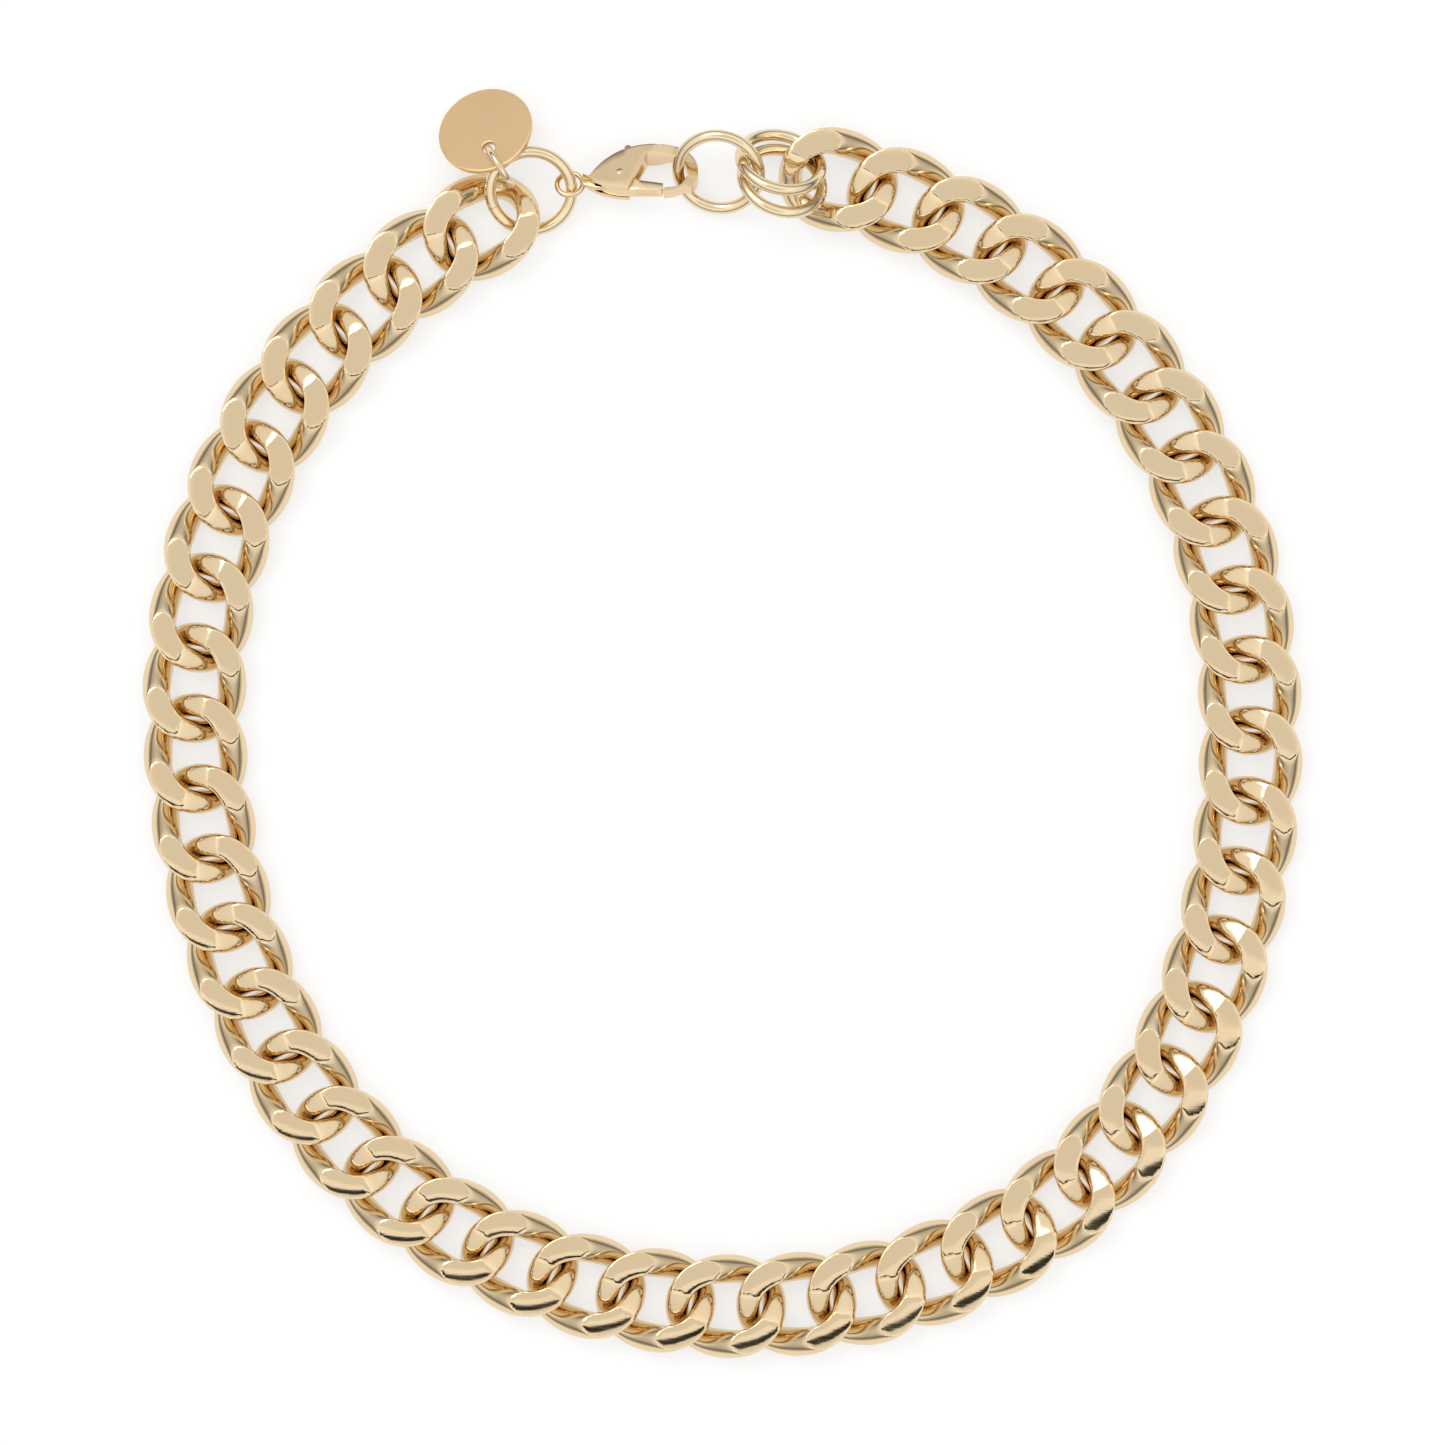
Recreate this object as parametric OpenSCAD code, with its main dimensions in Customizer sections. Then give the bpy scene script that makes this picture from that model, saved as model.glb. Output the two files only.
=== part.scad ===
// Curb chain necklace with a lobster clasp, lying closed on a flat surface.
// Millimetres, +Z up. The origin is on the surface, under the middle of the necklace's outline.
// Links are numbered clockwise from the clasp's hook side, seen from above.

/* [Chain] */
// Number of curb links
link_count = 45; // [45:1:45]
// Distance between the centres of neighbouring links, along the loop
link_pitch = 9.175; // [9.15:0.005:9.2]
// Length of one link over its wire
link_length = 15.75; // [15.7:0.05:15.8]
// Width of one link over its wire
link_width = 13.55; // [13.5:0.05:13.6]
// Diameter of the wire a link is bent from
link_wire = 3.15; // [3:0.05:3.2]
// Extra width that rolling gives a strand towards the inside of the link
strand_swell = 0.6; // [0.5:0.05:0.6]
// How far a strand rises and falls from the middle plane where the link is twisted
link_twist = 1.95; // [1.9:0.05:2]
// Thickness left after the top and bottom are ground flat
link_thickness = 4.7; // [4.5:0.1:4.9]

/* [Loop] */
// Mean radius of the loop along the links' centres
loop_radius = 71.7; // [71.5:0.1:71.9]
// How much taller than wide the loop lies
loop_tall = 2.7; // [2.5:0.1:2.9]
// How much the oval leans to one side
loop_lean = 0.7; // [0.5:0.1:0.9]
// How much the loop narrows on one side
loop_egg = 0.3; // [0.2:0.1:0.4]
// How much the loop flattens into four soft corners
loop_square = 0.5; // [0.4:0.1:0.6]
// Depth of the fivefold waviness of the laid chain
loop_wave = 0.3; // [0.2:0.1:0.4]
// Distance along the loop from its top to the middle of the first link
first_link_at = 14.85; // [14.8:0.05:14.9]

/* [Jump rings] */
// Outer diameter of the four large jump rings
ring_od = 12; // [11.9:0.05:12.1]
// Wire diameter of the large jump rings
ring_wire = 1.55; // [1.5:0.05:1.6]
// Outer diameter of the small ring that carries the tag
tag_ring_od = 6.4; // [6.3:0.05:6.5]
// Wire diameter of the small ring
tag_ring_wire = 0.9; // [0.8:0.05:0.9]

/* [Tag] */
// Diameter of the round tag
tag_d = 12.5; // [12:0.1:12.6]
// Thickness of the tag
tag_thickness = 0.8; // [0.6:0.1:0.9]
// Diameter of the tag's hole
tag_hole_d = 1.7; // [1.7:0.05:1.8]
// Distance from the tag's centre to its hole
tag_hole_at = 2.85; // [2.7:0.05:3]

/* [Clasp] */
// Thickness of the clasp over both leaf-shaped plates
clasp_depth = 3.2; // [3.1:0.05:3.3]
// Thickness of each plate
plate_thickness = 0.65; // [0.6:0.05:0.7]
// Thickness of the hook's curved limb
hook_depth = 1.8; // [1.7:0.05:1.9]
// Outer radius of the hook's bend
hook_outer_r = 4.05; // [4:0.05:4.1]
// Radius of the round opening inside the hook
hook_inner_r = 2.6; // [2.5:0.05:2.65]
// Radius of the eye, to the middle of its rim
eye_r = 1.68; // [1.65:0.01:1.7]
// Thickness of the eye's rim
eye_rim = 0.72; // [0.6:0.02:0.74]
// Diameter of the pin the lever turns on
pin_d = 0.9; // [0.8:0.05:1]

/* [Hidden] */
// Whole necklace moved so that the origin is under the middle of its outline
outline_centre = [0.06, 0.29, 0];
loop_centre = [0.4, -1.8];
gold = "#dcc08c";
pale_gold = "#e2cda0";
tag_gold = "#dfbb88";

link_a = (link_length - link_wire) / 2;
link_b = (link_width - link_wire) / 2;
sweep_rings = 18;
sweep_sides = 10;
path_steps = 720;
// Distance over which a heading is measured
heading_span = 0.1;
ring_r = (ring_od - ring_wire) / 2;
tag_ring_r = (tag_ring_od - tag_ring_wire) / 2;

// Where each piece of the closure lies: centre, then tilt about X, about Y and turn about Z
end_ring_at = [-24.84, 69.18, 3.05];
end_ring_tilt = [22.1, 1.5, 0];
closing_ring_at = [-0.51, 71.54, 4.31];
closing_ring_tilt = [32, -8.8, 0];
upper_pair_at = [7.55, 72.77, 4.54];
upper_pair_tilt = [-43.25, 15, 0];
lower_pair_at = [7.73, 70.39, 4.06];
lower_pair_tilt = [-35.46, 17, 0];
tag_ring_at = [-28.77, 72.17, 5.57];
tag_ring_turn = -57.3;
tag_ring_lean = -0.8;
tag_at = [-30.61, 76.86, 3.73];
tag_tilt = [-26.5, -15.2, 0];
// Direction of the tag's hole from its centre
tag_hole_dir = -72;
clasp_at = [-19.7, 70.02, 3.35];
clasp_tilt = [-29, -0.4, 5.3];

// Clasp outlines, in the clasp's own frame: X from the eye to the hook, Y to the back of the bend
spine_arc = [10.2, -5, 9.05];
belly_arc = [8.5, 7.3, 9.6];
hook_centre = [12.65, -0.1];
jaw_arc = [12.2, 3.3, 6.25];
slot_start = 4.6;
slot_end = 9.3;
slot_top = 1.9;
seam_top = [12.35, -1.4];
seam_bottom = [11.75, -3.4];
pivot = [6.6, 0.3];
pivot_boss_r = 1;
bore_gap = 0.05;
lever_depth = 1.7;
slot_depth = clasp_depth - 2 * plate_thickness;
spring_strip = 0.12;
spring_width = 1.2;
spring_r = 0.9;
spring_at = [slot_start + spring_r + spring_strip / 2, 2.15];
spring_from = 165;
spring_turn = 205;

function two_digits(n) = n < 10 ? str("0", n) : str(n);
function link_name(n) = str("link_", two_digits(n));
closure = ["end_ring", "closing_ring", "pair_ring_upper", "pair_ring_lower",
    "clasp_body", "clasp_lever", "clasp_pin", "clasp_spring", "tag_ring", "tag"];

// The loop the link centres lie on, as a radius at each angle from +X
function radius_at(q) = loop_radius - loop_tall * cos(2 * q) - loop_lean * sin(2 * q)
    - loop_egg * cos(3 * q) - loop_square * cos(4 * q) + loop_wave * sin(5 * q);
function loop_point(q) = loop_centre + radius_at(q) * [cos(q), sin(q)];

// Distance along the loop, clockwise from its top, against the angle there
step_angle = 360 / path_steps;
function arc_rows() = [for (k = 0, s = 0; k <= path_steps;
    s = s + norm(loop_point(90 - (k + 1) * step_angle) - loop_point(90 - k * step_angle)),
    k = k + 1) [s, 90 - k * step_angle]];
arc_table = arc_rows();
function point_along(s) = loop_point(lookup(s, arc_table));
function heading_along(s) = let (v = point_along(s + heading_span / 2) - point_along(s - heading_span / 2))
    atan2(v[1], v[0]);

// Centreline of one twisted link, once round as t goes from 0 to 360
function link_point(t) = [link_a * cos(t), link_b * sin(t), -link_twist * sin(2 * t)];
function link_along(t) = [-link_a * sin(t), link_b * cos(t), -2 * link_twist * cos(2 * t)];
function swell_at(t) = strand_swell / 2 * pow(sin(t), 4);
function unit(v) = v / norm(v);
function wire_ring(t) = let (
    along = unit(link_along(t)),
    side = unit(cross(along, [0, 0, 1])),
    up = cross(side, along))
    [for (k = [0:sweep_sides - 1]) let (q = (k + 0.5) * 360 / sweep_sides)
        link_point(t) + link_wire / 2 * (cos(q) * side + sin(q) * up)
            - swell_at(t) * (1 - cos(q)) * side];
function corner(i, k) = (i % sweep_rings) * sweep_sides + k % sweep_sides;

module link_wire_loop() {
    points = [for (i = [0:sweep_rings - 1]) each wire_ring(i * 360 / sweep_rings)];
    faces = [for (i = [0:sweep_rings - 1]) for (k = [0:sweep_sides - 1]) each [
        [corner(i, k), corner(i, k + 1), corner(i + 1, k + 1)],
        [corner(i, k), corner(i + 1, k + 1), corner(i + 1, k)]]];
    polyhedron(points, faces);
}

// Puts a piece where it lies, measured from the point under the middle of the outline
module placed(at, tilt) {
    translate(at - outline_centre) rotate(tilt) children();
}

module link(n) {
    along = first_link_at + (n - 1) * link_pitch;
    centre = point_along(along);
    color(gold)
        placed([centre[0], centre[1], link_thickness / 2], [0, 0, heading_along(along)])
            intersection() {
                link_wire_loop();
                cube([2 * link_length, 2 * link_width, link_thickness], center = true);
            }
}

module round_ring(centre_r, wire) {
    rotate_extrude($fn = 96)
        translate([centre_r, 0])
            circle(d = wire, $fn = 32);
}

module end_ring() {
    color(pale_gold) placed(end_ring_at, end_ring_tilt) round_ring(ring_r, ring_wire);
}

module closing_ring() {
    color(pale_gold) placed(closing_ring_at, closing_ring_tilt) round_ring(ring_r, ring_wire);
}

module pair_ring_upper() {
    color(pale_gold) placed(upper_pair_at, upper_pair_tilt) round_ring(ring_r, ring_wire);
}

module pair_ring_lower() {
    color(pale_gold) placed(lower_pair_at, lower_pair_tilt) round_ring(ring_r, ring_wire);
}

module tag_ring() {
    color(pale_gold)
        placed(tag_ring_at, [90 - tag_ring_lean, 0, tag_ring_turn])
            round_ring(tag_ring_r, tag_ring_wire);
}

// Plain round tag, its hole well inside the rim
module tag() {
    color(tag_gold)
        placed(tag_at, tag_tilt)
            difference() {
                cylinder(h = tag_thickness, d = tag_d, center = true, $fn = 96);
                translate(tag_hole_at * [cos(tag_hole_dir), sin(tag_hole_dir), 0])
                    cylinder(h = 2 * tag_thickness, d = tag_hole_d, center = true, $fn = 32);
            }
}

module arc_disc(arc) {
    translate([arc[0], arc[1]]) circle(r = arc[2], $fn = 128);
}

// Leaf-shaped plate, cut off along the mouth of the hook
module leaf_outline() {
    intersection() {
        arc_disc(spine_arc);
        arc_disc(belly_arc);
        polygon([[0, -5], [5.9, -5], [11.4, 4.8], [0, 4.8]]);
    }
}

// Area cleared for the lever: the open mouth and the gate's place in the jaw
module mouth_outline() {
    polygon([seam_top, seam_bottom, [5, -4.4], [5, slot_top], [10.2, slot_top]]);
}

module hook_outline() {
    difference() {
        intersection() {
            translate(hook_centre) circle(r = hook_outer_r, $fn = 96);
            arc_disc(jaw_arc);
        }
        translate(hook_centre) circle(r = hook_inner_r, $fn = 96);
        mouth_outline();
    }
}

module lever_slot() {
    linear_extrude(slot_depth, center = true)
        polygon([[slot_start, -5], [13, -5], [13, slot_top], [slot_end, slot_top], [slot_end, 5], [slot_start, 5]]);
}

module eye() {
    round_ring(eye_r, eye_rim);
    linear_extrude(2 * eye_rim, center = true)
        polygon([[eye_r, -0.35], [4, -1.2], [4, 1.3], [eye_r, 0.35]]);
}

module clasp_body() {
    color(gold) placed(clasp_at, clasp_tilt)
        difference() {
            union() {
                difference() {
                    linear_extrude(clasp_depth, center = true) leaf_outline();
                    lever_slot();
                }
                linear_extrude(hook_depth, center = true) hook_outline();
                eye();
            }
            translate([pivot[0], pivot[1], 0])
                cylinder(h = 2 * clasp_depth, d = pin_d, center = true, $fn = 32);
        }
}

// Gate, pivot boss and thumb tab in one flat piece
module lever_outline() {
    translate(pivot) circle(r = pivot_boss_r, $fn = 48);
    polygon([[6, -0.5], [8.1, -2.05], [11.72, -2.7], [12.05, -1.75], [8.9, -0.85], [7.5, 0.6]]);
    polygon([[6.3, 1.2], [7.5, 0.6], [8.5, 3.5], [8.4, 4.2], [7.3, 4.35], [7, 3.6]]);
}

module clasp_lever() {
    color(gold) placed(clasp_at, clasp_tilt)
        linear_extrude(lever_depth, center = true)
            difference() {
                lever_outline();
                translate(pivot) circle(d = pin_d + 2 * bore_gap, $fn = 32);
            }
}

module clasp_pin() {
    color(gold) placed(clasp_at, clasp_tilt)
        translate([pivot[0], pivot[1], 0])
            cylinder(h = clasp_depth, d = pin_d, center = true, $fn = 32);
}

// Bent leaf spring between the root of the eye and the thumb tab
module clasp_spring() {
    color("silver") placed(clasp_at, clasp_tilt)
        translate([spring_at[0], spring_at[1], 0])
            rotate([0, 0, spring_from])
                rotate_extrude(angle = spring_turn, $fn = 64)
                    translate([spring_r, 0])
                        square([spring_strip, spring_width], center = true);
}

for (n = [1:link_count])
    link(n);
end_ring();
closing_ring();
pair_ring_upper();
pair_ring_lower();
clasp_body();
clasp_lever();
clasp_pin();
clasp_spring();
tag_ring();
tag();
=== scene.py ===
# %% [markdown]
# A chunky curb chain necklace lies closed on a white table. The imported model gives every
# piece its place and its joint. This script keeps those places and builds what is seen:
# fine links with their ground faces, jump rings with a saw cut, the clasp, the tag, the
# plated finishes and the light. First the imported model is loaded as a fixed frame.

# %% The frame
import math

import bpy
import numpy as np
from mathutils import Matrix, Vector


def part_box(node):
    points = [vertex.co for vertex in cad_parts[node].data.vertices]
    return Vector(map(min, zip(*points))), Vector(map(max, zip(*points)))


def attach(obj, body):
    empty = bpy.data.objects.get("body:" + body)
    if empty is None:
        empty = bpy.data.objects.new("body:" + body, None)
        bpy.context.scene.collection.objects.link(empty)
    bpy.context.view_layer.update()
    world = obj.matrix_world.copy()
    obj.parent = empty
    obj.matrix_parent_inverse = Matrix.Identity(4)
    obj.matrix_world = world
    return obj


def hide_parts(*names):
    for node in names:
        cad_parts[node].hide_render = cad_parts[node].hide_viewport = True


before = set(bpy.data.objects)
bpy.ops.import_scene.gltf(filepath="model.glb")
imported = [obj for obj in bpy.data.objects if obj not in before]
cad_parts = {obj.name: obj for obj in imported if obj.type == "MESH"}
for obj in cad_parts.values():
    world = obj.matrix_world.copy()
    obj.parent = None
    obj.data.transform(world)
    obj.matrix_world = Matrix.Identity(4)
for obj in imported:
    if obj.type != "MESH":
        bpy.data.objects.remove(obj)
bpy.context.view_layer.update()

MM = 0.001

# %% [markdown]
# The camera comes first, so that each piece can be looked at as soon as it is made. The
# necklace is seen from straight above, from far enough away that the rings and the clasp
# show no perspective. A long lens does that: the view is narrow and the camera is high.

# %% Camera
VIEW_WIDTH = 187.9 * MM
CAMERA_HEIGHT = 900 * MM
SENSOR_WIDTH = 36
NEAREST, FARTHEST = 0.01, 10
bpy.ops.object.camera_add(location=(0, 0, CAMERA_HEIGHT), rotation=(0, 0, 0))
camera = bpy.context.object
camera.name = "overhead_camera"
camera.data.sensor_width = SENSOR_WIDTH
camera.data.lens = SENSOR_WIDTH * CAMERA_HEIGHT / VIEW_WIDTH
camera.data.clip_start = NEAREST
camera.data.clip_end = FARTHEST
bpy.context.scene.camera = camera
print("camera: lens", round(camera.data.lens, 1), "mm at", CAMERA_HEIGHT, "m")

# %% [markdown]
# Pieces are modelled with the same operators as by hand. An operator acts on all that is
# selected, and the frame arrives selected, so the selection is cleared before each new
# piece. Small helpers do that, pick faces of a piece by a rule, move a mesh to its place
# while its object stays at the origin, and read the corner points of a CAD node.

# %% Helpers for selecting and placing
def deselect_all():
    if bpy.context.object and bpy.context.object.mode != "OBJECT":
        bpy.ops.object.mode_set(mode="OBJECT")
    bpy.ops.object.select_all(action="DESELECT")


def make_active(piece):
    deselect_all()
    piece.select_set(True)
    bpy.context.view_layer.objects.active = piece


def pick_faces(piece, rule):
    """In edit mode, selects just the faces whose (centre, normal) fit the rule."""
    bpy.ops.object.mode_set(mode="OBJECT")
    mesh = piece.data
    mesh.vertices.foreach_set("select", [False] * len(mesh.vertices))
    mesh.edges.foreach_set("select", [False] * len(mesh.edges))
    mesh.polygons.foreach_set("select", [bool(rule(p.center, p.normal)) for p in mesh.polygons])
    bpy.ops.object.mode_set(mode="EDIT")
    bpy.ops.mesh.select_mode(type="FACE")


def place_mesh(piece, matrix):
    """Moves the mesh itself, so that the object stays at the origin."""
    piece.data.transform(matrix)
    piece.data.update()


def cad_points(node):
    """A CAD node's corner points, in metres."""
    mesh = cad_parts[node].data
    points = np.empty(len(mesh.vertices) * 3)
    mesh.vertices.foreach_get("co", points)
    return points.reshape(-1, 3)


print("helpers ready")

# %% [markdown]
# Finishes come next. The real necklace is cast and bent brass with a pale champagne-gold
# plating. Such a plating is never one flat colour: it is a little warmer where it is
# thicker, and polishing leaves a slight waviness and very fine hairlines. Each of these
# is a small group of shader nodes with named inputs, so that every finish can use it with
# its own numbers.

# %% A group for the tone of the plating
def add_socket(group, name, way, kind, value=None):
    socket = group.interface.new_socket(name=name, in_out=way, socket_type=kind)
    if value is not None:
        socket.default_value = value


def add_node(tree, kind, operation=None, inputs=None):
    """A new node, with its operation and the values of its free inputs."""
    node = tree.nodes.new(kind)
    if operation:
        node.operation = operation
    for name, value in (inputs or {}).items():
        node.inputs[name].default_value = value
    return node


def link_nodes(tree, *pairs):
    for source, target in pairs:
        tree.links.new(source, target)


NOISE, MATH = "ShaderNodeTexNoise", "ShaderNodeMath"
tone_group = bpy.data.node_groups.new("plating_tone", "ShaderNodeTree")
add_socket(tone_group, "Plating", "INPUT", "NodeSocketColor", (0.8, 0.63, 0.4, 1))
add_socket(tone_group, "Warm", "INPUT", "NodeSocketColor", (0.8, 0.55, 0.3, 1))
add_socket(tone_group, "Patch Size", "INPUT", "NodeSocketFloat", 90.0)
add_socket(tone_group, "Patch Strength", "INPUT", "NodeSocketFloat", 0.5)
add_socket(tone_group, "Color", "OUTPUT", "NodeSocketColor")
group_in = add_node(tone_group, "NodeGroupInput")
group_out = add_node(tone_group, "NodeGroupOutput")
place = add_node(tone_group, "ShaderNodeTexCoord")
patches = add_node(tone_group, NOISE, inputs={"Detail": 3.0, "Roughness": 0.55})
spread = add_node(tone_group, "ShaderNodeMapRange", inputs={"From Min": 0.38, "From Max": 0.66})
amount = add_node(tone_group, MATH, "MULTIPLY")
mix = add_node(tone_group, "ShaderNodeMix")
mix.data_type = "RGBA"
link_nodes(
    tone_group,
    (place.outputs["Object"], patches.inputs["Vector"]),
    (group_in.outputs["Patch Size"], patches.inputs["Scale"]),
    (patches.outputs["Fac"], spread.inputs["Value"]),
    (spread.outputs["Result"], amount.inputs[0]),
    (group_in.outputs["Patch Strength"], amount.inputs[1]),
    (amount.outputs["Value"], mix.inputs["Factor"]),
    (group_in.outputs["Plating"], mix.inputs["A"]),
    (group_in.outputs["Warm"], mix.inputs["B"]),
    (mix.outputs["Result"], group_out.inputs["Color"]),
)
print("group", tone_group.name, "with", len(tone_group.nodes), "nodes")

# %% [markdown]
# Polished metal is never optically flat. A soft waviness bends the reflections a little,
# and hairlines from the polishing cloth catch the light. The second group gives both: a
# height for a Bump node, and a roughness that rises on the hairlines and on dull patches.

# %% A group for the polish
polish_group = bpy.data.node_groups.new("polish_marks", "ShaderNodeTree")
add_socket(polish_group, "Wave Size", "INPUT", "NodeSocketFloat", 220.0)
add_socket(polish_group, "Wave Height", "INPUT", "NodeSocketFloat", 1.0)
add_socket(polish_group, "Hairline Height", "INPUT", "NodeSocketFloat", 0.05)
add_socket(polish_group, "Smooth", "INPUT", "NodeSocketFloat", 0.05)
add_socket(polish_group, "Dull", "INPUT", "NodeSocketFloat", 0.16)
add_socket(polish_group, "Roughness", "OUTPUT", "NodeSocketFloat")
add_socket(polish_group, "Height", "OUTPUT", "NodeSocketFloat")
BRUSHING_TURN = (0.3, 0.2, 0.6)
BRUSHING_SCALE = (300.0, 6000.0, 6000.0)
group_in = add_node(polish_group, "NodeGroupInput")
group_out = add_node(polish_group, "NodeGroupOutput")
place = add_node(polish_group, "ShaderNodeTexCoord")
waves = add_node(polish_group, NOISE, inputs={"Detail": 1.0})
brushing = add_node(polish_group, "ShaderNodeMapping",
                    inputs={"Rotation": BRUSHING_TURN, "Scale": BRUSHING_SCALE})
hairlines = add_node(polish_group, NOISE, inputs={"Scale": 1.0, "Detail": 2.0})
dull_patches = add_node(polish_group, NOISE, inputs={"Scale": 160.0, "Detail": 4.0})
wave_height = add_node(polish_group, MATH, "MULTIPLY")
line_height = add_node(polish_group, MATH, "MULTIPLY")
height = add_node(polish_group, MATH, "ADD")
wear = add_node(polish_group, MATH, "MULTIPLY")
roughness = add_node(polish_group, "ShaderNodeMapRange",
                     inputs={"From Min": 0.15, "From Max": 0.4})
link_nodes(
    polish_group,
    (place.outputs["Object"], waves.inputs["Vector"]),
    (group_in.outputs["Wave Size"], waves.inputs["Scale"]),
    (place.outputs["Object"], brushing.inputs["Vector"]),
    (brushing.outputs["Vector"], hairlines.inputs["Vector"]),
    (place.outputs["Object"], dull_patches.inputs["Vector"]),
    (waves.outputs["Fac"], wave_height.inputs[0]),
    (group_in.outputs["Wave Height"], wave_height.inputs[1]),
    (hairlines.outputs["Fac"], line_height.inputs[0]),
    (group_in.outputs["Hairline Height"], line_height.inputs[1]),
    (wave_height.outputs["Value"], height.inputs[0]),
    (line_height.outputs["Value"], height.inputs[1]),
    (dull_patches.outputs["Fac"], wear.inputs[0]),
    (hairlines.outputs["Fac"], wear.inputs[1]),
    (wear.outputs["Value"], roughness.inputs["Value"]),
    (group_in.outputs["Smooth"], roughness.inputs["To Min"]),
    (group_in.outputs["Dull"], roughness.inputs["To Max"]),
    (height.outputs["Value"], group_out.inputs["Height"]),
    (roughness.outputs["Result"], group_out.inputs["Roughness"]),
)
print("group", polish_group.name, "with", len(polish_group.nodes), "nodes")

# %% [markdown]
# Each finish is one material: the two groups feed a metallic shader. The rings are the
# palest, the tag is a little more peach and less polished, and the spring inside the clasp
# is plain steel.

# %% The plated finishes
def plated(name, plating, warm, patch=(90.0, 0.5), wave=(220.0, 1.0), hairline=0.05,
           smooth=0.05, dull=0.16, bump=0.02):
    """Patch and wave are (size, strength), smooth and dull roughness, and bump is in mm."""
    material = bpy.data.materials.new(name)
    material.use_nodes = True
    tree = material.node_tree
    shader = tree.nodes["Principled BSDF"]
    shader.inputs["Metallic"].default_value = 1.0
    tone = tree.nodes.new("ShaderNodeGroup")
    tone.node_tree = tone_group
    tone.inputs["Plating"].default_value = (*plating, 1)
    tone.inputs["Warm"].default_value = (*warm, 1)
    tone.inputs["Patch Size"].default_value = patch[0]
    tone.inputs["Patch Strength"].default_value = patch[1]
    polish = tree.nodes.new("ShaderNodeGroup")
    polish.node_tree = polish_group
    polish.inputs["Wave Size"].default_value = wave[0]
    polish.inputs["Wave Height"].default_value = wave[1]
    polish.inputs["Hairline Height"].default_value = hairline
    polish.inputs["Smooth"].default_value = smooth
    polish.inputs["Dull"].default_value = dull
    bumps = add_node(tree, "ShaderNodeBump", inputs={"Strength": 1.0, "Distance": bump * MM})
    link_nodes(
        tree,
        (tone.outputs["Color"], shader.inputs["Base Color"]),
        (polish.outputs["Roughness"], shader.inputs["Roughness"]),
        (polish.outputs["Height"], bumps.inputs["Height"]),
        (bumps.outputs["Normal"], shader.inputs["Normal"]),
    )
    print("finish", name)
    return material


link_gold = plated("link_gold", (0.79, 0.625, 0.40), (0.79, 0.60, 0.36),
                   smooth=0.05, dull=0.09, bump=0.022)
ring_gold = plated("ring_gold", (0.81, 0.67, 0.45), (0.80, 0.62, 0.38),
                   wave=(500.0, 0.5), bump=0.008)
clasp_gold = plated("clasp_gold", (0.80, 0.62, 0.40), (0.79, 0.59, 0.36),
                    wave=(300.0, 0.5), smooth=0.1, dull=0.2, bump=0.004)
tag_gold = plated("tag_gold", (0.85, 0.60, 0.34), (0.84, 0.58, 0.31),
                  wave=(140.0, 0.4), hairline=0.02, smooth=0.29, dull=0.32, bump=0.004)
spring_steel = plated("spring_steel", (0.56, 0.55, 0.53), (0.5, 0.46, 0.42),
                      smooth=0.2, dull=0.4, bump=0.01)

# %% [markdown]
# A curb link starts as a straight wire. It is wound into an oval, twisted so that it lies
# flat against its neighbours, pressed a little wider along its strands, and ground flat
# on both faces. The model follows the same steps. These are the sizes of one link, in
# millimetres. The wire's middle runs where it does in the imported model.

# %% Sizes of one link
LINK_LENGTH = 15.75
LINK_WIDTH = 13.55
CAD_WIRE = 3.15
WIRE = 3.1
SWELL = 0.66
TWIST = 1.95
THICKNESS = 4.7
oval_x = (LINK_LENGTH - CAD_WIRE) / 2
oval_y = (LINK_WIDTH - CAD_WIRE) / 2
print("one link:", LINK_LENGTH, "x", LINK_WIDTH, "x", THICKNESS, "mm, wire", WIRE, "mm")

# %% [markdown]
# A circle of points is stretched to the oval and twisted up and down. Made a curve, it gets
# a round section from the curve's own bevel, which keeps the wire even through the twist,
# and then it becomes a mesh again with its doubled seam merged.

# %% Winding and twisting the wire
WIRE_POINTS = 120
WIRE_ROUNDNESS = 13
SEAM_MERGE = 0.004
deselect_all()
bpy.ops.mesh.primitive_circle_add(vertices=WIRE_POINTS, radius=1.0)
master_link = bpy.context.object
master_link.name = "master_link"
bpy.ops.object.mode_set(mode="EDIT")
bpy.ops.mesh.select_all(action="SELECT")
bpy.ops.transform.resize(value=(oval_x * MM, oval_y * MM, 1))
bpy.ops.object.mode_set(mode="OBJECT")
for point in master_link.data.vertices:
    turn = math.atan2(point.co.y / oval_y, point.co.x / oval_x)
    point.co.z = -TWIST * MM * math.sin(2 * turn)
bpy.ops.object.convert(target="CURVE")
master_link.data.bevel_depth = WIRE / 2 * MM
master_link.data.bevel_resolution = WIRE_ROUNDNESS
bpy.ops.object.convert(target="MESH")
bpy.ops.object.mode_set(mode="EDIT")
bpy.ops.mesh.select_all(action="SELECT")
bpy.ops.mesh.remove_doubles(threshold=SEAM_MERGE * MM)
bpy.ops.mesh.normals_make_consistent(inside=False)
bpy.ops.object.mode_set(mode="OBJECT")
print("wound wire:", len(master_link.data.vertices), "vertices")

# %% [markdown]
# Pressing widens the strands towards the opening of the link. Every point is moved inwards,
# the more so the nearer it is to the inner side of the wire and to the middle of a strand.
# The two noses keep their round wire, because the neighbours swing there.

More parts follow.
